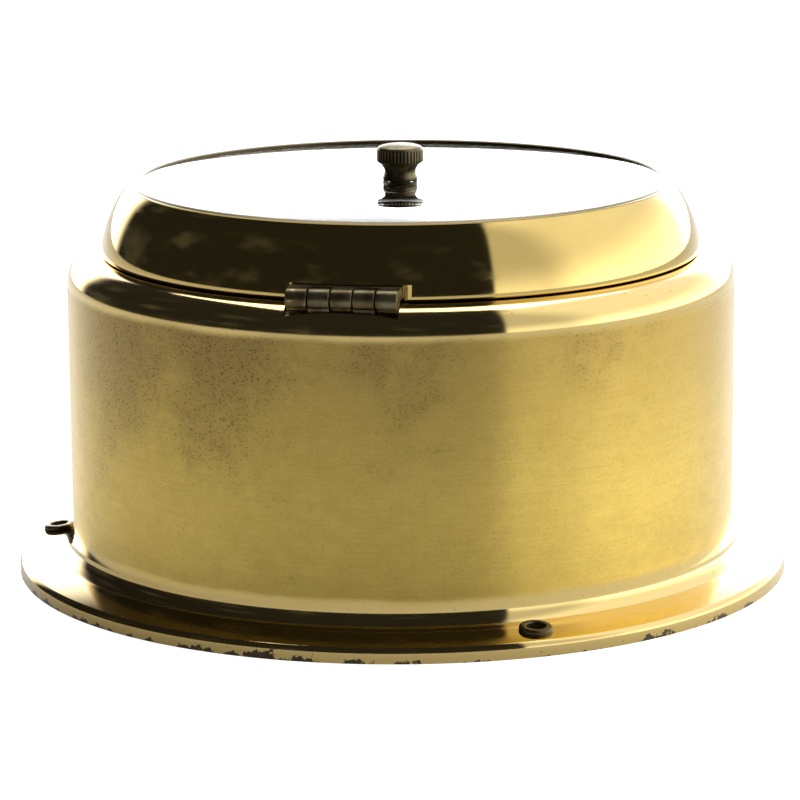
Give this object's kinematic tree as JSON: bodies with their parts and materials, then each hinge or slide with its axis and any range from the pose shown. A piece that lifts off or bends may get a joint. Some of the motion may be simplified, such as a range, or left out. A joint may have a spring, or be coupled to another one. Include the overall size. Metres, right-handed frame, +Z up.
{
  "type": "binnacle compass",
  "caption": "Gimballed card compass in a flanged brass drum case, with a hinged, glazed bezel and a knurled course-setting knob through the glass.",
  "frame": {"origin": "centre of the mounting flange's underside", "axes": "+Z up through the card's pivot, +Y towards the ship's head, bezel hinge on the -X side"},
  "size_m": [0.17, 0.17, 0.0934],
  "materials": {
    "satin_brass": "lathe-brushed satin with fine specks of tarnish",
    "polished_brass": "mirror polished",
    "tarnished_brass": "dull, browned with age",
    "steel": "fine turned steel",
    "bronze": "rolled phosphor bronze",
    "lead": "dull cast metal",
    "glass": "clear flat glass",
    "rubber": "matt black",
    "black_paint": "satin black paint",
    "card_enamel": "off-white enamel with black printing"
  },
  "bodies": {
    "case": {"case_drum": "satin_brass", "back_plate": "satin_brass", "back_plate_screw_1": "tarnished_brass", "back_plate_screw_2": "tarnished_brass", "back_plate_screw_3": "tarnished_brass", "back_plate_screw_4": "tarnished_brass", "screw_ferrule_1": "tarnished_brass", "screw_ferrule_2": "tarnished_brass", "screw_ferrule_3": "tarnished_brass", "hinge_case_leaf": "tarnished_brass", "case_leaf_screw_1": "tarnished_brass", "case_leaf_screw_2": "tarnished_brass", "hinge_pin": "tarnished_brass", "catch_spring": "bronze", "catch_screw": "tarnished_brass", "gimbal_post_fore": "polished_brass", "gimbal_post_aft": "polished_brass", "roll_pivot_fore": "steel", "roll_pivot_aft": "steel", "post_screw_fore_1": "tarnished_brass", "post_screw_fore_2": "tarnished_brass", "post_screw_aft_1": "tarnished_brass", "post_screw_aft_2": "tarnished_brass"},
    "lid": {"bezel_ring": "polished_brass", "lid_glass": "glass", "glass_gasket": "rubber", "glass_retaining_ring": "tarnished_brass", "hinge_lid_leaf": "tarnished_brass", "lid_leaf_screw_1": "tarnished_brass", "lid_leaf_screw_2": "tarnished_brass", "pointer_bush": "tarnished_brass", "bush_nut": "tarnished_brass"},
    "course_pointer": {"course_knob": "tarnished_brass", "pointer_spindle": "tarnished_brass", "spring_washer": "bronze", "course_pointer": "tarnished_brass", "pointer_screw": "steel"},
    "gimbal": {"gimbal_ring": "polished_brass", "pitch_pivot_port": "steel", "pitch_pivot_starboard": "steel"},
    "bowl": {"compass_bowl": "black_paint", "bowl_glass": "glass", "bowl_gasket": "rubber", "verge_ring": "polished_brass", "verge_screw_1": "polished_brass", "verge_screw_2": "polished_brass", "verge_screw_3": "polished_brass", "verge_screw_4": "polished_brass", "expansion_diaphragm": "bronze", "chamber_cap": "satin_brass", "balance_ring": "lead", "filler_plug": "polished_brass", "lubber_line": "black_paint", "pivot_post": "steel"},
    "card": {"compass_card": "card_enamel", "card_float": "bronze", "jewel_cup": "bronze", "card_magnet_port": "steel", "card_magnet_starboard": "steel"}
  },
  "joints": [
    {"name": "lid_hinge", "type": "hinge", "parent": "case", "child": "lid", "pos_m": [-0.0683, 0, 0.0714], "axis": [0, -1, 0], "range_deg": [0, 130]},
    {"name": "pointer_turn", "type": "hinge", "parent": "lid", "child": "course_pointer", "pos_m": [0, 0, 0.0852], "axis": [0, 0, 1], "continuous": true},
    {"name": "gimbal_roll", "type": "hinge", "parent": "case", "child": "gimbal", "pos_m": [0, 0, 0.045], "axis": [0, 1, 0], "range_deg": [-20, 20]},
    {"name": "bowl_pitch", "type": "hinge", "parent": "gimbal", "child": "bowl", "pos_m": [0, 0, 0.045], "axis": [1, 0, 0], "range_deg": [-20, 20]},
    {"name": "card_turn", "type": "hinge", "parent": "bowl", "child": "card", "pos_m": [0, 0, 0.0441], "axis": [0, 0, 1], "continuous": true}
  ]
}
